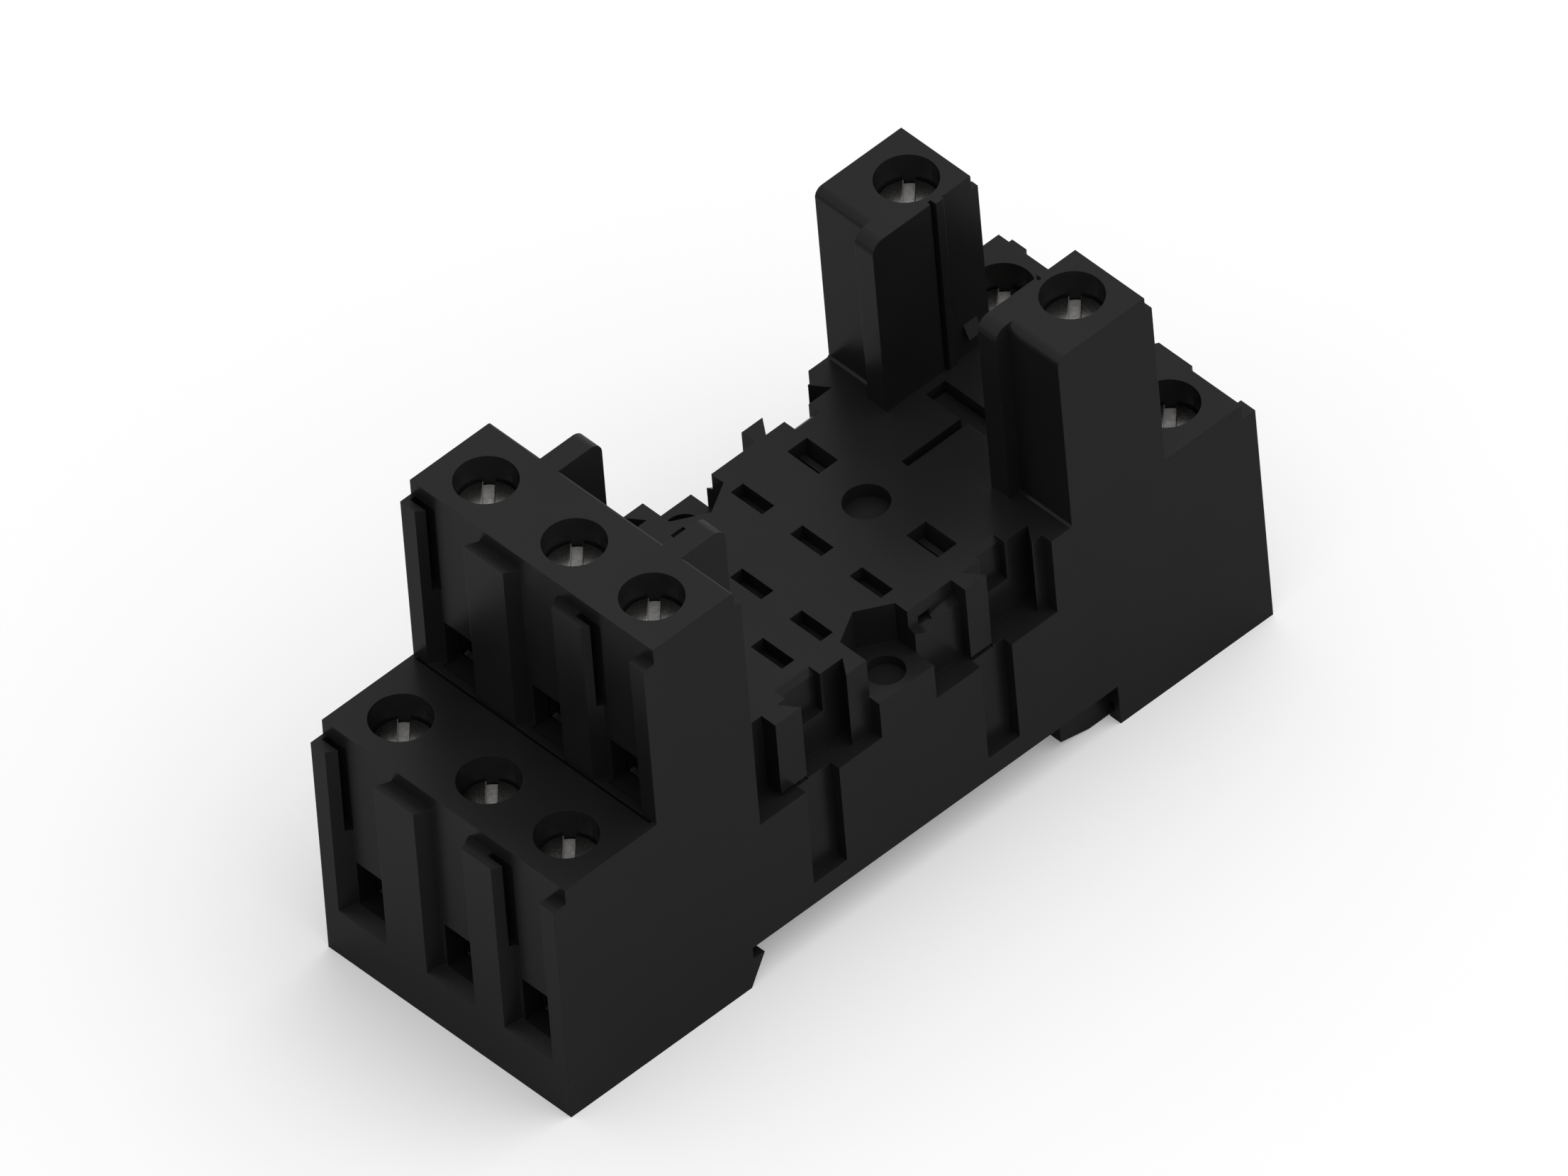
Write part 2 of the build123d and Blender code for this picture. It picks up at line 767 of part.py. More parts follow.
def make_contact(terminal):
    """Contact: tongue in the clamp, strip through the housing, fork under its pin slot."""
    z = heights(terminal)
    x, y = terminal.x, terminal.y
    pin_x, pin_y = terminal.pin_x, terminal.pin_y
    tip = x + terminal.facing * (clamp_length / 2 - clamp_gap / 2)
    foot_reach = fork_half + leaf / 2
    end_x = pin_x - foot_reach if terminal.facing > 0 else pin_x + foot_reach
    if not is_high(terminal):
        start = x - terminal.facing * (clamp_length / 2 + clamp_gap)
        path = bus_path(start, y, pin_x, pin_y)
        bus = extrude(trace(path, line_width=strip_width), amount=strip, dir=(0, 0, 1))
        piece = Pos(0, 0, z["tongue_low"]) * bus
        half = strip_width / 2
        level = (z["tongue_low"], z["tongue_high"])
        piece += block(sorted((tip, start)), (y - half, y + half), level)
        foot_x = sorted((pin_x - foot_reach, pin_x + foot_reach))
        piece += block(foot_x, (pin_y - half, pin_y + half), level)
        return piece + fork(pin_x, pin_y, z["tongue_high"] - strip / 2)
    riser = riser_span(terminal)
    middle_x = sum(riser) / 2
    tongue_z = z["tongue_low"] + strip / 2
    upper = bent_strip([(tip, tongue_z), (middle_x, tongue_z), (middle_x, jog_high_z)], y, bend)
    bus_z = upper_bus_z + strip / 2
    lower = bent_strip([(middle_x, jog_low_z), (middle_x, bus_z), (end_x, bus_z)], pin_y, bend / 2 + 0.1)
    half = strip_width / 2
    jog = [
        (y - half, jog_high_z),
        (y + half, jog_high_z),
        (pin_y + half, jog_low_z),
        (pin_y - half, jog_low_z),
    ]
    piece = upper + lower + along_length(jog, riser)
    return piece + fork(pin_x, pin_y, bus_z)


def make_clamp(terminal):
    """Rising clamp: a square ring round the wire, with a threaded nut as its top wall."""
    z = heights(terminal)
    middle_z = (z["clamp_low"] + z["clamp_high"]) / 2
    height = z["clamp_high"] - z["clamp_low"]
    plane = Plane(origin=(terminal.x, terminal.y, middle_z), x_dir=(0, 1, 0), z_dir=(1, 0, 0))
    ring = RectangleRounded(clamp_width, height, clamp_round)
    inner_width = clamp_width - 2 * clamp_wall
    inner_height = z["clamp_inner_high"] - z["clamp_inner_low"]
    shift = (z["clamp_inner_low"] + z["clamp_inner_high"]) / 2 - middle_z
    ring -= Pos(0, shift) * RectangleRounded(inner_width, inner_height, clamp_round / 3)
    body = extrude(plane * ring, amount=clamp_length / 2, both=True)
    hole_z = (z["clamp_inner_high"] - clamp_wall, z["clamp_high"] + clamp_wall)
    return body - rod(terminal.x, terminal.y, hole_z, shank_radius + thread_gap)


def make_screw(terminal):
    """Slotted cheese-head screw; its tip bears on the contact's tongue."""
    z = heights(terminal)
    x, y = terminal.x, terminal.y
    head = rod(x, y, (z["head_under"], z["head_top"]), head_radius)
    head = chamfer(head.edges().filter_by(GeomType.CIRCLE).sort_by(Axis.Z)[-1], head_round)
    slot = Rot(0, 0, slot_turn) * block(
        (-well_radius, well_radius), (-slot_width / 2, slot_width / 2), (-slot_depth, beyond)
    )
    head -= Pos(x, y, z["head_top"]) * slot
    shank = rod(x, y, (z["tongue_high"] + strip_gap, z["head_under"]), shank_radius)
    tip = shank.edges().filter_by(GeomType.CIRCLE).sort_by(Axis.Z)[0]
    return head + chamfer(tip, strip_gap * 6)


def make_cover():
    """Base cover with its rail hook, snap lugs and the peg that backs the latch spring."""
    y = (-inner_half + cover_gap, inner_half - cover_gap)
    cover = along_width(cover_outline(0), y)
    for x, z in snap_places():
        cover += both_sides(snap(x, z, 0))
    peg_z = (latch_gap * 3, cover_rear_under + cover_rear_thick / 2)
    return cover + block((peg_x, peg_x + peg_length), (-peg_half, peg_half), peg_z)


def make_latch():
    """Rail latch: sliding plate with a sloped nose, a shoulder and side runners."""
    rail_far = rail_notch_x + rail_width
    nose_x = rail_far - nose_bite
    tail_x = length - latch_tail_inset
    plate_top = cover_rear_under - latch_gap
    outline = [
        (nose_x, nose_under),
        (nose_x + nose_ramp, latch_gap),
        (tail_x, latch_gap),
        (tail_x, plate_top),
        (shoulder_end, plate_top),
        (shoulder_end, rail_ceiling - latch_gap),
        (shoulder_x, rail_ceiling - latch_gap),
        (shoulder_x, plate_top),
        (nose_x, plate_top),
    ]
    half = inner_half - cover_gap
    latch = along_width(outline, (-half, half))
    slot_end = peg_x + peg_length + latch_gap
    height = (-beyond, rail_ceiling)
    latch -= block((latch_slot_x, slot_end), (-latch_slot_half, latch_slot_half), height)
    driver_slot_x = length - driver_slot_inset
    driver = (driver_slot_x, driver_slot_x + driver_slot_length)
    latch -= block(driver, (-driver_slot_half, driver_slot_half), height)
    runner_z = (runner_low_z, runner_low_z + runner_height)
    runner = block((runner_x, runner_end), (half - beyond, half + runner_reach), runner_z)
    return latch + both_sides(runner)


def make_spring():
    """Wire-form spring, bent to and fro, between the latch and the cover's peg."""
    start = latch_slot_x + spring_wire / 2 + spring_end_gap
    end = peg_x - spring_wire / 2 - spring_end_gap
    waves = max(2, round((end - start) / (2 * spring_pitch)))
    pitch = (end - start) / (2 * waves)
    points = []
    for index in range(2 * waves + 1):
        x, side = start + index * pitch, 1 if index % 2 else -1
        points += [(x, side * spring_half), (x, -side * spring_half)]
    line = FilletPolyline(*points, radius=0.45 * pitch)
    face = trace(line, line_width=spring_wire)
    low_z = cover_rear_under / 5
    return Pos(0, 0, low_z) * extrude(face, amount=cover_rear_under / 2, dir=(0, 0, 1))


def latch_ways():
    """Grooves in the housing's side walls for the latch's runners."""
    low_z = runner_low_z - latch_gap
    high_z = runner_low_z + runner_height + latch_gap
    end_x = runner_end + latch_travel + latch_gap
    reach = inner_half + runner_reach + latch_gap
    way = block((foot_x - beyond, end_x), (inner_half - beyond, reach), (low_z, high_z))
    return both_sides(way)


def make_housing(terminals):
    """The moulded housing, with every chamber and channel open to the base."""
    ribs, slits = front_ribs(terminals)
    housing = body_block() + [tower(1), tower(-1)] + back_guides() + ribs
    base = along_width(cover_outline(cover_gap), (-inner_half, inner_half))
    cuts = [base] + slits + latch_ways() + deck_cuts()
    for cut in side_cuts():
        cuts += both_sides(cut)
    for x, z in snap_places():
        cuts += both_sides(snap(x, z, cover_gap))
    for terminal in terminals:
        cuts += terminal_cuts(terminal)
    housing = housing - cuts
    return housing + coil_bars()


def save(name, shape):
    """Write one piece, moved so that the origin is at the middle of the underside."""
    export_step(Pos(-length / 2, 0, 0) * shape, f"parts/{name}.step")


os.makedirs("parts", exist_ok=True)
terminals = lay_out_terminals()
save("housing", make_housing(terminals))
save("base_cover", make_cover())
save("rail_latch", make_latch())
save("latch_spring", make_spring())
for terminal in terminals:
    save(f"contact_{terminal.name}", make_contact(terminal))
    save(f"clamp_{terminal.name}", make_clamp(terminal))
    save(f"screw_{terminal.name}", make_screw(terminal))
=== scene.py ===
# %% [markdown]
# # A relay socket, dressed cell by cell
#
# A relay socket is the black block that sits on a rail in a control cabinet. A relay
# plugs into its deck from above, and wires go into its steps from both ends.
# The solids come from the CAD frame. Blender adds what a mould, a press and a plating
# bath leave on the real thing: soft edges, grain, threads and bright metal.
# Lengths are written in millimetres, and MM turns them into Blender's metres.

import json
import math

import bmesh
import bpy
from mathutils import Matrix, Vector


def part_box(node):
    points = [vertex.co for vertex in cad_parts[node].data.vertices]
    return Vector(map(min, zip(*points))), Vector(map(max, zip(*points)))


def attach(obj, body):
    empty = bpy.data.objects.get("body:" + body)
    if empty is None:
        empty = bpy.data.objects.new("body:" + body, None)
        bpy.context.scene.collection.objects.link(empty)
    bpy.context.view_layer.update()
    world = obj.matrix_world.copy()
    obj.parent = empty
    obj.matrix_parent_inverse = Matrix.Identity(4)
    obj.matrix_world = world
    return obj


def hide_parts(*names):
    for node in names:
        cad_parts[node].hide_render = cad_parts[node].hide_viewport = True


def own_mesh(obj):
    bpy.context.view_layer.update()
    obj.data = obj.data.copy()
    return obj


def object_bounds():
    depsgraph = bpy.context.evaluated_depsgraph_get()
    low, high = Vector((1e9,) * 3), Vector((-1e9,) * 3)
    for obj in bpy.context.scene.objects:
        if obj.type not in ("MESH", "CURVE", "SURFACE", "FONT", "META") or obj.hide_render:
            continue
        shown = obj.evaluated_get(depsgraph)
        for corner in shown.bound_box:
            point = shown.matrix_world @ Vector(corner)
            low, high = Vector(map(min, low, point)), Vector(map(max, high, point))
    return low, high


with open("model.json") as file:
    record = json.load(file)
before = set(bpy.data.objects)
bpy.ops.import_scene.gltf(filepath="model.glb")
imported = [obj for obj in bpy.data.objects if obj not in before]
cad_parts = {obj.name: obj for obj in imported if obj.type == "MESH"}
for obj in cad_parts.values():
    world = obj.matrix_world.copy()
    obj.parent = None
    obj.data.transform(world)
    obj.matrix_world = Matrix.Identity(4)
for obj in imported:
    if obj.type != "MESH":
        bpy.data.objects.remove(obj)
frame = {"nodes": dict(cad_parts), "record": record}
cad_box = [list(corner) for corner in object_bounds()]
nodes = frame["nodes"]
MM = 0.001

# %% [markdown]
# ## Places along the socket
#
# Eleven terminals share one pattern, so their names drive every loop below.
# Each one's place is read from its own solids, so nothing here can drift from them.

# %% Name the terminals
PLACES = [name[len("screw_"):] for name in sorted(nodes) if name.startswith("screw_")]


def middle(node):
    """Middle of a node's box, in metres."""
    low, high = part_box(node)
    return (low + high) / 2


print("terminals:", ", ".join(PLACES))

# %% [markdown]
# ## The camera
#
# The picture has no perspective: edges that are parallel on the part stay parallel.
# An orthographic camera does that, and its scale alone decides how large the part is.
# It looks down at about 45 degrees from the front right, with a slight roll.

# %% Place the camera
VIEW_AZIMUTH = math.radians(-39.932)
VIEW_ELEVATION = math.radians(44.941)
VIEW_ROLL = math.radians(-5.043)
VIEW_WIDTH = 119.7 * MM
VIEW_RIGHT = 25.50 * MM
VIEW_UP = 33.90 * MM
VIEW_DISTANCE = 400 * MM
FRONT_FACE = cad_box[0][0]


def camera_axes():
    """The camera's right, up and backward directions, roll included."""
    across = math.cos(VIEW_ELEVATION)
    back = Vector((
        math.sin(VIEW_AZIMUTH) * across,
        -math.cos(VIEW_AZIMUTH) * across,
        math.sin(VIEW_ELEVATION),
    ))
    right = Vector((0, 0, 1)).cross(back).normalized()
    up = back.cross(right)
    turn = Matrix.Rotation(VIEW_ROLL, 3, back)
    return turn @ right, turn @ up, back


right, up, back = camera_axes()
aim = Vector((FRONT_FACE, 0, 0)) + right * VIEW_RIGHT + up * VIEW_UP
camera = bpy.data.objects.new("camera", bpy.data.cameras.new("camera"))
camera.data.type = "ORTHO"
camera.data.ortho_scale = VIEW_WIDTH
camera.matrix_world = Matrix((right, up, back)).transposed().to_4x4()
camera.location = aim + back * VIEW_DISTANCE
bpy.context.scene.collection.objects.link(camera)
bpy.context.scene.camera = camera
print("camera looks along", [round(value, 3) for value in -back])

# %% [markdown]
# ## A small language for shaders
#
# A material is a net of nodes, and its sums could be wired one node at a time. That
# hides the formula, so a small class wraps a socket and takes part in Python's sums.
# A second one wraps the net and adds every other node with one method.

# %% Wrap a socket


class Wire:
    """The output of a shader node, which takes part in Python arithmetic."""

    def __init__(self, finish, socket):
        self.finish = finish
        self.socket = socket

    def maths(self, operation, other, flipped=False):
        """A Math node on this value and another, which comes first if flipped."""
        pair = (other, self) if flipped else (self, other)
        return self.finish.node("ShaderNodeMath", {"operation": operation}, dict(enumerate(pair)))

    def __add__(self, other):
        return self.maths("ADD", other)

    def __radd__(self, other):
        return self.maths("ADD", other, flipped=True)

    def __sub__(self, other):
        return self.maths("SUBTRACT", other)

    def __rsub__(self, other):
        return self.maths("SUBTRACT", other, flipped=True)

    def __mul__(self, other):
        return self.maths("MULTIPLY", other)

    def __rmul__(self, other):
        return self.maths("MULTIPLY", other, flipped=True)

    def __pow__(self, other):
        return self.maths("POWER", other)

    def at_least(self, other):
        """The larger of two values."""
        return self.maths("MAXIMUM", other)

    def between(self, low, high):
        """0 at low, 1 at high, smooth on the way."""
        settings = {"interpolation_type": "SMOOTHSTEP"}
        return self.finish.node("ShaderNodeMapRange", settings, {0: self, 1: low, 2: high})


print("sockets take part in sums")

# %% Wrap a net of nodes


class Finish:
    """The nodes of a material or a world, and the one method that adds to them."""

    def __init__(self, owner):
        owner.use_nodes = True
        self.owner = owner
        self.tree = owner.node_tree
        self.tree.nodes.clear()

    def node(self, kind, settings=None, sockets=None, output=0):
        """Add a node, set it up, and feed its sockets, each by its number or name."""
        made = self.tree.nodes.new(kind)
        for name, value in (settings or {}).items():
            setattr(made, name, value)
        for name, value in (sockets or {}).items():
            if isinstance(value, Wire):
                self.tree.links.new(value.socket, made.inputs[name])
            else:
                made.inputs[name].default_value = value
        return Wire(self, made.outputs[output]) if made.outputs else made

    def ray(self, kind):
        """1 for rays of one kind, 0 for all others."""
        return self.node("ShaderNodeLightPath", output=f"Is {kind} Ray")

    def alike(self, first, second):
        """Dot product of two directions: 1 where they agree, less where they part."""
        settings = {"operation": "DOT_PRODUCT"}
        return self.node("ShaderNodeVectorMath", settings, {0: first, 1: second}, output="Value")

    def mix(self, share, first, second):
        """Blend of two colours."""
        colours = {0: share, 6: first, 7: second}
        return self.node("ShaderNodeMix", {"data_type": "RGBA"}, colours, output=2)


def paint(level, tint=(1, 1, 1)):
    """Opaque colour of one grey level, a little tinted."""
    return (*[level * part for part in tint], 1)


print("shader helpers ready")

# %% [markdown]
# ## The light
#
# The part stands in a white tent with its lamps above, a little to the camera's right.
# Lamp objects would show as hard glints on black plastic, so the world itself is the
# lamp: an even part, and a wide lobe that is brightest where the lamps would be.
# The camera and every reflection see the tent's plain white cloth.

# %% Light the tent
TENT_LIGHT = 0.5075
SIDE_LIGHT = 1.35
LIT_FROM = Vector((0.36, -0.26, 0.90)).normalized()
LIT_FOCUS = 3

world = bpy.data.worlds.new("tent")
bpy.context.scene.world = world
tent = Finish(world)
white = tent.ray("Camera").at_least(tent.ray("Glossy").at_least(tent.ray("Transmission")))
direction = tent.node("ShaderNodeTexCoord", output="Generated")
lobe = tent.alike(direction, LIT_FROM).at_least(0) ** LIT_FOCUS
light = TENT_LIGHT + SIDE_LIGHT * lobe
strength = white + (1 - white) * light
sky = tent.node("ShaderNodeBackground", None, {"Color": paint(1), "Strength": strength})
tent.node("ShaderNodeOutputWorld", None, {"Surface": sky})

bpy.context.scene.view_settings.view_transform = "Standard"
print("tent lit at", TENT_LIGHT, "with up to", SIDE_LIGHT, "more from above")

# %% [markdown]
# ## The floor
#
# The paper under the part is white in the picture and keeps a faint soft shadow.
# White paper would also throw light up at the part and wash out its black recesses.
# So the camera sees pale paper with a slight glow, reflections see it grey, and the
# light that it throws back is weaker still. Its half side is written in metres.

# %% Lay the floor
FLOOR_HALF = 2.0
FLOOR_SEEN = 0.84
FLOOR_GLOW = 0.19
FLOOR_SHINE = 0.50
FLOOR_BOUNCE = 0.10

mesh = bpy.data.meshes.new("floor")
build = bmesh.new()
bmesh.ops.create_grid(build, x_segments=1, y_segments=1, size=FLOOR_HALF)
build.to_mesh(mesh)
build.free()
floor = bpy.data.objects.new("floor", mesh)
bpy.context.scene.collection.objects.link(floor)

paper = Finish(bpy.data.materials.new("floor_paper"))
seen = paper.ray("Camera")
tone = paper.mix(paper.ray("Glossy"), paint(FLOOR_BOUNCE), paint(FLOOR_SHINE))
tone = paper.mix(seen, tone, paint(FLOOR_SEEN))
sheet = paper.node("ShaderNodeBsdfDiffuse", None, {"Color": tone})
glow = paper.node("ShaderNodeEmission", None, {"Color": paint(1), "Strength": FLOOR_GLOW * seen})
lit = paper.node("ShaderNodeAddShader", None, {0: sheet, 1: glow})
paper.node("ShaderNodeOutputMaterial", None, {"Surface": lit})
floor.data.materials.append(paper.owner)
print("floor laid, half side", FLOOR_HALF, "m")

# %% [markdown]
# ## Patterns on a surface
#
# Two patterns serve every finish. Noise makes clouds and grain, and it reads Object
# coordinates, so that it stays on the piece when the piece moves.
# Edges could be painted paler by hand. Here a Bevel node rounds the normal near an
# edge, and where it parts from the flat one, there is an edge. The paler colour that
# the plastic takes there is a painted highlight.

# %% Make noise and find edges
EDGE_RADIUS = 0.05 * MM
EDGE_STARTS = 0.01
EDGE_FULL = 0.22


def speckle(finish, size, detail, rough=0.5):
    """Noise whose blobs are about as large as size, on the piece's own coordinates."""
    place = finish.node("ShaderNodeTexCoord", output="Object")
    sockets = {"Vector": place, "Scale": 1 / size, "Detail": detail, "Roughness": rough}
    return finish.node("ShaderNodeTexNoise", None, sockets)


# The paler edge colour that the plastic takes from this mask is a painted highlight.
def edge_mask(finish, radius):
    """1 on sharp edges and 0 on flat faces, and the rounded normal that finds them."""
    round_normal = finish.node("ShaderNodeBevel", {"samples": 4}, {"Radius": radius})
    flat = finish.node("ShaderNodeNewGeometry", output="True Normal")
    edges = (1 - finish.alike(round_normal, flat)).between(EDGE_STARTS, EDGE_FULL)
    return edges, round_normal


def coat(finish, sockets, fine, relief, push, normal):
    """Close a material: its shader, with fine noise as relief on the rounded normal."""
    heights = {"Strength": push, "Distance": relief, "Height": fine, "Normal": normal}
    bump = finish.node("ShaderNodeBump", None, heights)
    surface = finish.node("ShaderNodeBsdfPrincipled", None, {**sockets, "Normal": bump})
    finish.node("ShaderNodeOutputMaterial", None, {"Surface": surface})
    return finish.owner


print("edges are", EDGE_RADIUS / MM, "mm round")

# %% [markdown]
# ## Black moulded plastic
#
# The housing is glass-filled plastic, black all through. The mould is lightly eroded,
# so its skin is satin with a fine grain, and a trace smoother on its edges. The edges
# are also a trace paler: a painted highlight for the thin bright rims along them.
# One dark colour would look like a hole in the picture. Faint clouds in the tone and
# a grain of about 0.16 mm in the relief let the light break up as it does on a
# moulded skin.

# %% Mix the plastics
CLOUD_SIZE = 9 * MM
CLOUD_SPAN = (0.35, 0.70)
CLOUD_ROUGH = 0.06
GRAIN_ROUGH = 0.05
EDGE_SMOOTH = 0.03
SKIN_SHINE = 0.135
SKIN_RELIEF = 0.006 * MM
SKIN_PUSH = 0.22


def plastic(name, dark, light, edge, gloss, grain):
    """Satin black moulding with grain, faint clouds, and a painted highlight that makes its edges
    paler.
    """
    finish = Finish(bpy.data.materials.new(name))
    clouds = speckle(finish, CLOUD_SIZE, detail=3)
    fine = speckle(finish, grain, detail=1)
    edges, round_normal = edge_mask(finish, EDGE_RADIUS)
    body = finish.mix(clouds.between(*CLOUD_SPAN), paint(dark), paint(light))
    sockets = {
        # Paler edge colour: a painted highlight for the thin bright rims along the edges.
        "Base Color": finish.mix(edges, body, paint(edge, (1, 1, 0.99))),
        "Roughness": gloss + CLOUD_ROUGH * clouds + GRAIN_ROUGH * fine - EDGE_SMOOTH * edges,
        "Specular IOR Level": SKIN_SHINE,
    }
    return coat(finish, sockets, fine, SKIN_RELIEF, SKIN_PUSH, round_normal)


# edge is the grey of the painted highlight on the plastic's edges.
black_plastic = plastic(
    "black_plastic", dark=0.0122, light=0.0136, edge=0.0145, gloss=0.24, grain=0.16 * MM
)
latch_plastic = plastic(
    "latch_plastic", dark=0.0122, light=0.0136, edge=0.0155, gloss=0.22, grain=0.10 * MM
)
print("plastics mixed")

# %% [markdown]
# ## Metals
#
# Screws and clamps are steel with a thin zinc skin. The clamps are painted near black, a
# painted shade for the dark housing round them. The contacts are a tinned copper alloy,
# painted darker than tin as painted shade for the entries they sit in.
# Zinc is cloudy rather than mirror-bright, so colour and roughness drift together:
# one noise drives both. The slot that a saw leaves in a screw is duller than the head
# around it, and its paler grey is a painted highlight for the bright floor of the slot,
# so it has a metal of its own.

# %% Mix the metals
METAL_SPAN = (0.35, 0.65)
METAL_DULL = 0.18
METAL_ROUGH = 0.10
METAL_RUBBED = 0.08
METAL_BRIGHT = 0.60
METAL_RELIEF = 0.004 * MM
METAL_PUSH = 0.60
GRAINS_PER_CLOUD = 7
ZINC = (1, 0.99, 0.96)
SLOT_TINT = (1, 0.98, 0.96)


def metal(name, dark, light, gloss, cloud):
    """Plated metal: cloudy tone, fine grain, paler and smoother edges."""
    finish = Finish(bpy.data.materials.new(name))
    clouds = speckle(finish, cloud, detail=4, rough=0.6)
    fine = speckle(finish, cloud / GRAINS_PER_CLOUD, detail=2)
    edges, round_normal = edge_mask(finish, EDGE_RADIUS / 2)
    share = clouds.between(*METAL_SPAN)
    tone = finish.mix(share, dark, light)
    worn = METAL_ROUGH * fine - METAL_RUBBED * edges
    sockets = {
        "Base Color": finish.mix(edges * METAL_BRIGHT, tone, light),
        "Roughness": gloss + METAL_DULL * (1 - share) + worn,
        "Metallic": 1.0,
    }
    return coat(finish, sockets, fine, METAL_RELIEF, METAL_PUSH, round_normal)


screw_steel = metal(
    "screw_steel", dark=paint(0.18, ZINC), light=paint(0.38, ZINC), gloss=0.16, cloud=0.12 * MM
)
# The slot's paler grey is a painted highlight for its bright floor deep in the well; its rougher gloss
# is the sawn metal's.
slot_steel = metal(
    "slot_steel", dark=paint(0.45, SLOT_TINT), light=paint(0.56, SLOT_TINT), gloss=0.62, cloud=0.4 * MM
)
# Near black: painted shade for the dark inside the housing where the clamps sit.
clamp_steel = metal("clamp_steel", dark=paint(0.05), light=paint(0.09), gloss=0.34, cloud=1.2 * MM)
# Darker than tin: painted shade for the dark inside the entries where the contacts sit.
contact_copper = metal(
    "contact_copper",
    dark=paint(0.30, (1, 0.92, 0.76)),
    light=paint(0.42, (1, 0.94, 0.82)),
    gloss=0.42,
    cloud=2.0 * MM,
)
spring_steel = metal("spring_steel", dark=paint(0.45), light=paint(0.6), gloss=0.25, cloud=0.6 * MM)
print("metals mixed")

# %% [markdown]
# ## The solids that keep their shape
#
# The moulded pieces and the contacts already have every form that shows, so they keep
# their CAD mesh and take a finish. Modelling them again would only risk a difference.

# %% Dress the solids that keep their shape
FINISHES = {
    "housing": black_plastic,
    "base_cover": black_plastic,
    "rail_latch": latch_plastic,
}
for place in PLACES:
    FINISHES[f"contact_{place}"] = contact_copper

for name, material in FINISHES.items():
    nodes[name].data.materials.clear()
    nodes[name].data.materials.append(material)
print("dressed", len(FINISHES), "solids")

# %% [markdown]
# ## Terminal screws
#
# Each terminal is closed by an M3 screw with a slotted head, sunk in a round well.
# A grooved cylinder would do from far away, but the thread shows beside a raised clamp.
# So the screw is made the way a lathe and a saw make it: a head with a sawn slot, and
# below it a thread that follows the pitch.
# CLOSE and WELD say how near two places count as one: CLOSE when parts are picked by
# where they lie, WELD when vertices are joined or a level is met.

# %% Choose the screw's sizes
HEAD_RADIUS = 2.5
HEAD_HEIGHT = 2.6
HEAD_ROUND = 0.12
HEAD_STEPS = 48
SLOT_WIDTH = 0.9
SLOT_DEPTH = 0.5
SLOT_TURN = math.radians(45)
NECK_DROP = 0.4
NECK_TAPER = 0.2
THREAD_RADIUS = 1.5
THREAD_CORE = 1.22
THREAD_PITCH = 0.5
TURN_STEPS = 24
SPARE_TURNS = 2
TIP_LENGTH = 0.35
TIP_SHARE = 0.75
CLOSE = 0.01
WELD = 1e-4
print("screw M3, pitch", THREAD_PITCH, "mm, slot", SLOT_WIDTH, "by", SLOT_DEPTH, "mm")

# %% [markdown]
# ## Extruding well
#
# An extrusion that is given faces alone leaves the old ones behind as walls inside.
# Given their edges and vertices too, it moves the skin and closes the sides. One
# helper does that for faces, and another lowers the open rim of a shape.

# %% Extrude faces and rims


def of_kind(kind, geometry):
    """The vertices, edges or faces among what an operator gives back."""
    return [part for part in geometry if isinstance(part, kind)]


def extrude_faces(build, faces, move):
    """Extrude faces so that no old face stays inside, and give the new faces."""
    edges = {edge for face in faces for edge in face.edges}
    verts = {vert for face in faces for vert in face.verts}
    made = bmesh.ops.extrude_face_region(build, geom=[*faces, *edges, *verts])["geom"]
    bmesh.ops.translate(build, verts=of_kind(bmesh.types.BMVert, made), vec=move)
    return of_kind(bmesh.types.BMFace, made)


def lower_rim(build, edges, drop, share=1.0):
    """Extrude a rim downward, scale it about the axis, and give the new rim."""
    made = bmesh.ops.extrude_edge_only(build, edges=edges)["geom"]
    ring = of_kind(bmesh.types.BMVert, made)
    bmesh.ops.translate(build, verts=ring, vec=(0, 0, -drop))
    bmesh.ops.scale(build, verts=ring, vec=(share, share, 1))
    return of_kind(bmesh.types.BMEdge, made)


def open_edges(build):
    """Edges with a face on one side only, of which a whole piece has none."""
    return [edge for edge in build.edges if edge.is_boundary]


print("extrusion helpers ready")

# %% [markdown]
# ## The head
#
# The saw takes a slot out of a turned head. Cutting a block away would need a boolean,
# which leaves untidy faces. Instead a disc is cut along both sides of the slot, and
# what lies beside it is raised. Then the edges are rounded, and the rim goes down to
# the neck. The slot's floor and walls take the slot's own metal, duller than the head,
# with a paler grey that is a painted highlight.

# %% Turn the head


def at_top_rim(vert):
    """Whether a vertex lies on the head's raised rim, where the rounding goes."""
    return vert.co.z > SLOT_DEPTH - CLOSE and vert.co.xy.length > HEAD_RADIUS - CLOSE


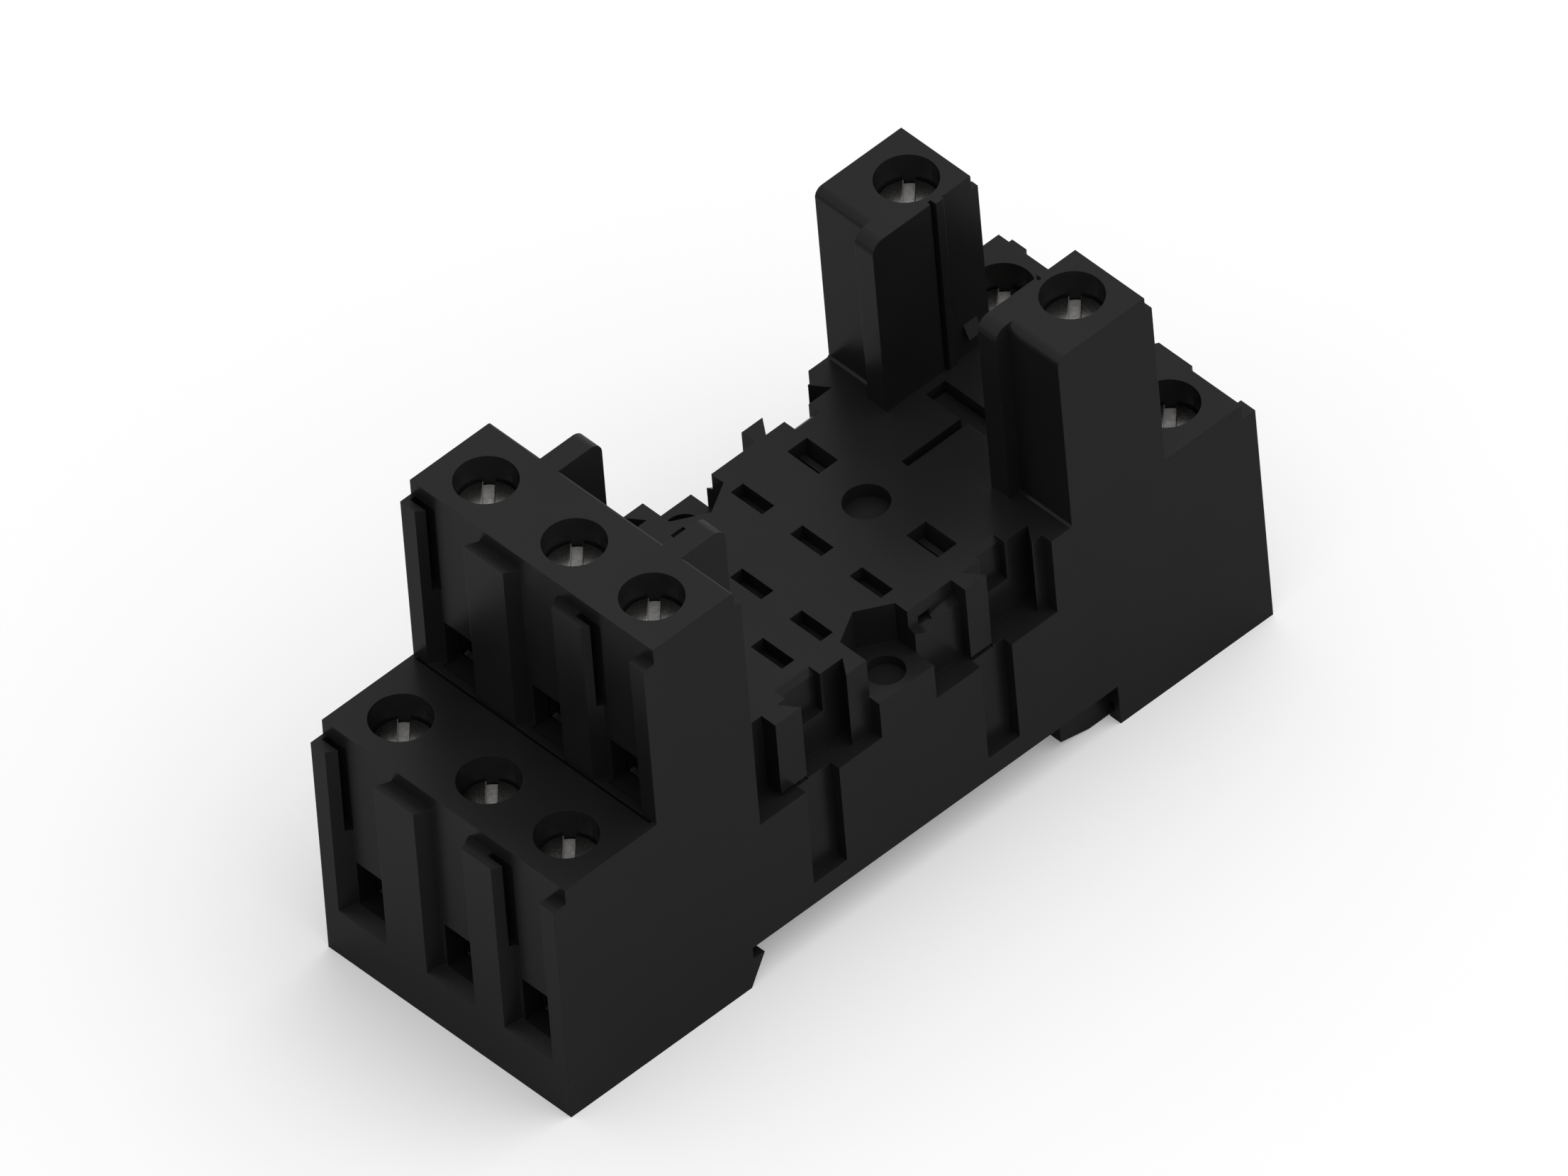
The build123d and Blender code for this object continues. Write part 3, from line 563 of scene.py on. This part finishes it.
def slotted_head(build):
    """A round head whose slot runs along X, open below at the thread's radius."""
    bmesh.ops.create_circle(build, cap_ends=True, segments=HEAD_STEPS, radius=HEAD_RADIUS)
    for side in (-1, 1):
        bmesh.ops.bisect_plane(
            build,
            geom=build.verts[:] + build.edges[:] + build.faces[:],
            plane_co=(0, side * SLOT_WIDTH / 2, 0),
            plane_no=(0, 1, 0),
        )
    for face in build.faces:
        face.material_index = 1
    beside = [face for face in build.faces if abs(face.calc_center_median().y) > SLOT_WIDTH / 2]
    for face in beside:
        for top in extrude_faces(build, [face], (0, 0, SLOT_DEPTH)):
            top.material_index = 0
    for face in build.faces:
        if face.calc_center_median().xy.length > HEAD_RADIUS - CLOSE:
            face.material_index = 0
    rim = [edge for edge in build.edges if all(at_top_rim(vert) for vert in edge.verts)]
    bmesh.ops.bevel(
        build, geom=rim, offset=HEAD_ROUND, segments=3, profile=0.5, affect="EDGES", material=-1
    )
    ring = lower_rim(build, open_edges(build), HEAD_HEIGHT - SLOT_DEPTH)
    ring = lower_rim(build, ring, 0, THREAD_RADIUS / HEAD_RADIUS)
    return lower_rim(build, ring, NECK_DROP)


trial = bmesh.new()
slotted_head(trial)
print("head:", len(trial.faces), "faces, open edges:", len(open_edges(trial)))
trial.free()

# %% [markdown]
# ## The thread
#
# A thread is rolled as one V that climbs one pitch with each turn. Stacked rings would
# look alike at first, but they don't climb. Spin takes a small step along the axis with
# each step of the turn, so the profile runs down a true helix. Then both ends are cut
# flat, because the neck and the tip are flat rings.

# %% Spin the thread
THREAD_PROFILE = (
    (0.00, THREAD_CORE),
    (0.40, THREAD_RADIUS),
    (0.52, THREAD_RADIUS),
    (0.92, THREAD_CORE),
    (1.00, THREAD_CORE),
)


def cut_flat(build, height, keep_below):
    """Cut the bmesh at a height, drop one side, and give the ring of cut edges."""
    cut = bmesh.ops.bisect_plane(
        build,
        geom=build.verts[:] + build.edges[:] + build.faces[:],
        dist=WELD,
        plane_co=(0, 0, height),
        plane_no=(0, 0, 1 if keep_below else -1),
        clear_outer=True,
    )["geom_cut"]
    return of_kind(bmesh.types.BMEdge, cut)


def thread(build, top, tip):
    """A V-shaped thread from top down to tip, both ends cut flat."""
    turns = math.ceil((top - tip) / THREAD_PITCH) + SPARE_TURNS
    line = [
        build.verts.new((radius, 0, top + (1 + rise) * THREAD_PITCH))
        for rise, radius in THREAD_PROFILE
    ]
    edges = [build.edges.new(pair) for pair in zip(line, line[1:])]
    bmesh.ops.spin(
        build,
        geom=line + edges,
        axis=(0, 0, 1),
        dvec=(0, 0, -THREAD_PITCH / TURN_STEPS),
        angle=math.tau * turns,
        steps=TURN_STEPS * turns,
    )
    bmesh.ops.remove_doubles(build, verts=build.verts, dist=WELD)
    upper = cut_flat(build, top, keep_below=True)
    lower = cut_flat(build, tip + TIP_LENGTH, keep_below=False)
    return upper, lower


trial = bmesh.new()
upper, lower = thread(trial, 0, -4)
print("thread:", len(trial.faces), "faces, its ends have", len(upper), "and", len(lower), "edges")
trial.free()

# %% [markdown]
# ## One whole screw
#
# Head and thread are made apart, because each has its own number of steps round the
# axis. Bridge joins two open rims whatever their counts, and the tip tapers so that
# the screw finds its nut.

# %% Join head and thread


def screw_form(length):
    """One whole screw, its head's top at height zero."""
    build = bmesh.new()
    under_neck = SLOT_DEPTH - HEAD_HEIGHT - NECK_DROP - NECK_TAPER
    upper, lower = thread(build, under_neck, SLOT_DEPTH - length)
    lower = lower_rim(build, lower, TIP_LENGTH, TIP_SHARE)
    bmesh.ops.edgeloop_fill(build, edges=lower)
    head = bmesh.new()
    slotted_head(head)
    mesh = bpy.data.meshes.new("head")
    head.to_mesh(mesh)
    head.free()
    build.from_mesh(mesh)
    bpy.data.meshes.remove(mesh)
    bmesh.ops.bridge_loops(build, edges=open_edges(build))
    bmesh.ops.translate(build, verts=build.verts, vec=(0, 0, -SLOT_DEPTH))
    return build


trial = screw_form(10.0)
print("screw:", len(trial.faces), "faces, open edges:", len(open_edges(trial)))
trial.free()

# %% [markdown]
# ## Screws in their wells
#
# A finished piece keeps its place in its mesh, with its object at the origin, as the
# CAD nodes do. Each screw takes its length and its axis from its own solid, rides that
# solid's body, and stands in for it. All slots are turned alike, as the solids' are.

# %% Set the screws in their wells
SHARP = math.radians(32)


def place_piece(name, build, materials, at, turn=0.0):
    """Make an object from a bmesh in millimetres; its place goes into its mesh."""
    move = Matrix.Translation(at) @ Matrix.Rotation(turn, 4, "Z") @ Matrix.Scale(MM, 4)
    bmesh.ops.transform(build, matrix=move, verts=build.verts)
    bmesh.ops.recalc_face_normals(build, faces=build.faces)
    mesh = bpy.data.meshes.new(name)
    build.to_mesh(mesh)
    build.free()
    mesh.shade_smooth()
    mesh.set_sharp_from_angle(angle=SHARP)
    for material in materials:
        mesh.materials.append(material)
    made = bpy.data.objects.new(name, mesh)
    bpy.context.scene.collection.objects.link(made)
    return made


for place in PLACES:
    node = f"screw_{place}"
    low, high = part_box(node)
    centre = middle(node)
    screw = place_piece(
        f"slotted_{node}",
        screw_form((high.z - low.z) / MM),
        (screw_steel, slot_steel),
        (centre.x, centre.y, high.z),
        SLOT_TURN,
    )
    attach(screw, node)
    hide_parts(node)
print("set", len(PLACES), "screws of", len(screw.data.polygons), "faces")

# %% [markdown]
# ## Rising clamps
#
# Under each screw rides a steel ring that lifts the wire against the contact.
# It is a bent strip whose top wall is a thick nut, and its floor has teeth that bite
# into the wire. A plain tube would hide how it works, so the ring gets all three.
# Its outline is a rounded rectangle, inset to leave one wall all round.

# %% Outline the ring
CLAMP_ROUND = 1.0
CLAMP_WALL = 0.8
NUT_EXTRA = 0.7


def ring_outline(build, width, height):
    """The ring's end face: a rounded rectangle with a rectangular window in it."""
    bmesh.ops.create_grid(build, x_segments=1, y_segments=1, size=0.5)
    bmesh.ops.scale(build, verts=build.verts, vec=(width, height, 1))
    bmesh.ops.bevel(
        build,
        geom=build.verts[:],
        offset=CLAMP_ROUND,
        segments=4,
        profile=0.5,
        affect="VERTICES",
        material=-1,
    )
    bmesh.ops.inset_region(
        build, faces=build.faces[:], thickness=CLAMP_WALL, use_even_offset=True, use_boundary=True
    )
    window = max(build.faces, key=lambda face: len(face.verts))
    under_nut = [vert for vert in window.verts if vert.co.y > 0]
    bmesh.ops.translate(build, verts=under_nut, vec=(0, -NUT_EXTRA, 0))
    bmesh.ops.delete(build, geom=[window], context="FACES_ONLY")


trial = bmesh.new()
ring_outline(trial, 5.0, 6.0)
print("ring outline:", len(trial.faces), "faces round its window")
trial.free()

# %% [markdown]
# ## The nut's hole
#
# The screw passes the nut through a round hole. A hole in a flat wall could be a
# boolean too, but bridging is cleaner: the flat faces go, a circle is set in their
# place, and the wall's rim is bridged to the circle.

# %% Cut the nut's hole
NUT_HOLE = 1.55
HOLE_STEPS = 24


def cut_hole(build, level):
    """Swap the flat wall at a level for one with a round hole."""
    wall = [
        face
        for face in build.faces
        if all(abs(vert.co.y - level) < WELD for vert in face.verts)
    ]
    rim = {edge for face in wall for edge in face.edges}
    inside = [edge for edge in rim if all(face in wall for face in edge.link_faces)]
    bmesh.ops.delete(build, geom=wall, context="FACES_ONLY")
    bmesh.ops.delete(build, geom=inside, context="EDGES")
    turn = Matrix.Translation((0, level, 0)) @ Matrix.Rotation(math.pi / 2, 4, "X")
    bmesh.ops.create_circle(build, segments=HOLE_STEPS, radius=NUT_HOLE, matrix=turn)
    rims = [
        edge
        for edge in build.edges
        if len(edge.link_faces) < 2 and abs(edge.verts[0].co.y - level) < WELD
    ]
    bmesh.ops.bridge_loops(build, edges=rims)


print("nut hole", 2 * NUT_HOLE, "mm wide")

# %% [markdown]
# ## One clamp, tooth by tooth
#
# The teeth could be cut from a finished ring. It is simpler to extrude the outline in
# short steps and to lift its floor at every second one, which leaves a row of ridges
# across the wire. The ring is drawn lying down, and ACROSS stands it up in the socket.

# %% Bend and set the clamps
TOOTH_COUNT = 5
TOOTH_HEIGHT = 0.16
FLOOR_REACH = 1.5 * TOOTH_HEIGHT
ACROSS = Matrix(((0, 0, 1), (1, 0, 0), (0, 1, 0))).to_4x4()


def clamp_form(width, height, length):
    """One whole clamp, centred on its own middle."""
    build = bmesh.new()
    ring_outline(build, width, height)
    floor_level = CLAMP_WALL - height / 2
    steps = 2 * TOOTH_COUNT
    end = build.faces[:]
    bmesh.ops.translate(build, verts=build.verts, vec=(0, 0, -length / 2))
    for step in range(steps):
        end = extrude_faces(build, end, (0, 0, length / steps))
        moved = {vert for face in end for vert in face.verts}
        on_floor = [vert for vert in moved if abs(vert.co.y - floor_level) < FLOOR_REACH]
        rise = TOOTH_HEIGHT if step % 2 == 0 else -TOOTH_HEIGHT
        bmesh.ops.translate(build, verts=on_floor, vec=(0, rise, 0))
    nut_top = height / 2
    cut_hole(build, nut_top)
    cut_hole(build, nut_top - CLAMP_WALL - NUT_EXTRA)
    bmesh.ops.bridge_loops(build, edges=open_edges(build))
    bmesh.ops.transform(build, matrix=ACROSS, verts=build.verts)
    return build


for place in PLACES:
    node = f"clamp_{place}"
    low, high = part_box(node)
    size = (high - low) / MM
    clamp = place_piece(
        f"bent_{node}", clamp_form(size.y, size.z, size.x), (clamp_steel,), middle(node)
    )
    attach(clamp, node)
    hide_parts(node)
trial = bmesh.new()
trial.from_mesh(clamp.data)
print("bent", len(PLACES), "clamps, open edges of one:", len(open_edges(trial)))
trial.free()

# %% [markdown]
# ## Latch spring
#
# The rail latch is pushed forward by a wire bent to and fro, seen from below.
# It is one round wire. A curve with a round section could draw it, but the same
# operators bend it as a wire maker does: a disc's rim is extruded along each run and
# spun half a turn at each end.

# %% Bend the spring
WIRE_RADIUS = 0.225
WIRE_SIDES = 12
WAVE_COUNT = 5
BEND_STEPS = 8


def spring_form(size):
    """A wire bent to and fro along X, centred on its own middle."""
    build = bmesh.new()
    pitch = (size.x - 2 * WIRE_RADIUS) / (2 * WAVE_COUNT)
    turn_at = size.y / 2 - WIRE_RADIUS - pitch / 2
    x = WIRE_RADIUS - size.x / 2
    start = Matrix.Translation((x, turn_at, 0)) @ Matrix.Rotation(math.pi / 2, 4, "X")
    bmesh.ops.create_circle(
        build, cap_ends=True, segments=WIRE_SIDES, radius=WIRE_RADIUS, matrix=start
    )
    ring = build.edges[:]
    way = -1
    for run in range(2 * WAVE_COUNT + 1):
        made = bmesh.ops.extrude_edge_only(build, edges=ring)["geom"]
        verts = of_kind(bmesh.types.BMVert, made)
        bmesh.ops.translate(build, verts=verts, vec=(0, way * 2 * turn_at, 0))
        ring = of_kind(bmesh.types.BMEdge, made)
        if run < 2 * WAVE_COUNT:
            last = bmesh.ops.spin(
                build,
                geom=verts + ring,
                cent=(x + pitch / 2, way * turn_at, 0),
                axis=(0, 0, 1),
                angle=-way * math.pi,
                steps=BEND_STEPS,
            )["geom_last"]
            ring = of_kind(bmesh.types.BMEdge, last)
        x += pitch
        way = -way
    bmesh.ops.edgeloop_fill(build, edges=ring)
    return build


low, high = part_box("latch_spring")
spring = place_piece(
    "wave_spring", spring_form((high - low) / MM), (spring_steel,), middle("latch_spring")
)
print("spring", [round(value / MM, 2) for value in high - low], "mm")

# %% [markdown]
# ## How much the spring would give
#
# When the latch slides back, the whole wave shortens towards the peg that backs it.
# Riding the latch would tear the spring from its peg, so it stays with the socket.
# What it would keep of its length is reckoned here: the latch's travel taken from the
# length between spring and peg.

# %% Reckon how much of its length the spring keeps
PEG_GAP = 0.1


def slide_length(name):
    """How far one joint of the record slides, in metres."""
    joints = frame["record"]["behaviour"]["joints"]
    return next(joint["range_m"][1] for joint in joints if joint["name"] == name)


travel = slide_length("latch_slide")
peg = high.x + PEG_GAP * MM
keep = 1 - travel / (peg - low.x)
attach(spring, "socket")
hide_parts("latch_spring")
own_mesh(spring)
print("spring keeps", round(keep, 3), "of its length over", travel / MM, "mm of travel")

# %% [markdown]
# ## The end
#
# The dressed part has to fill the same box as the solids.

# %% Finish
print("done")
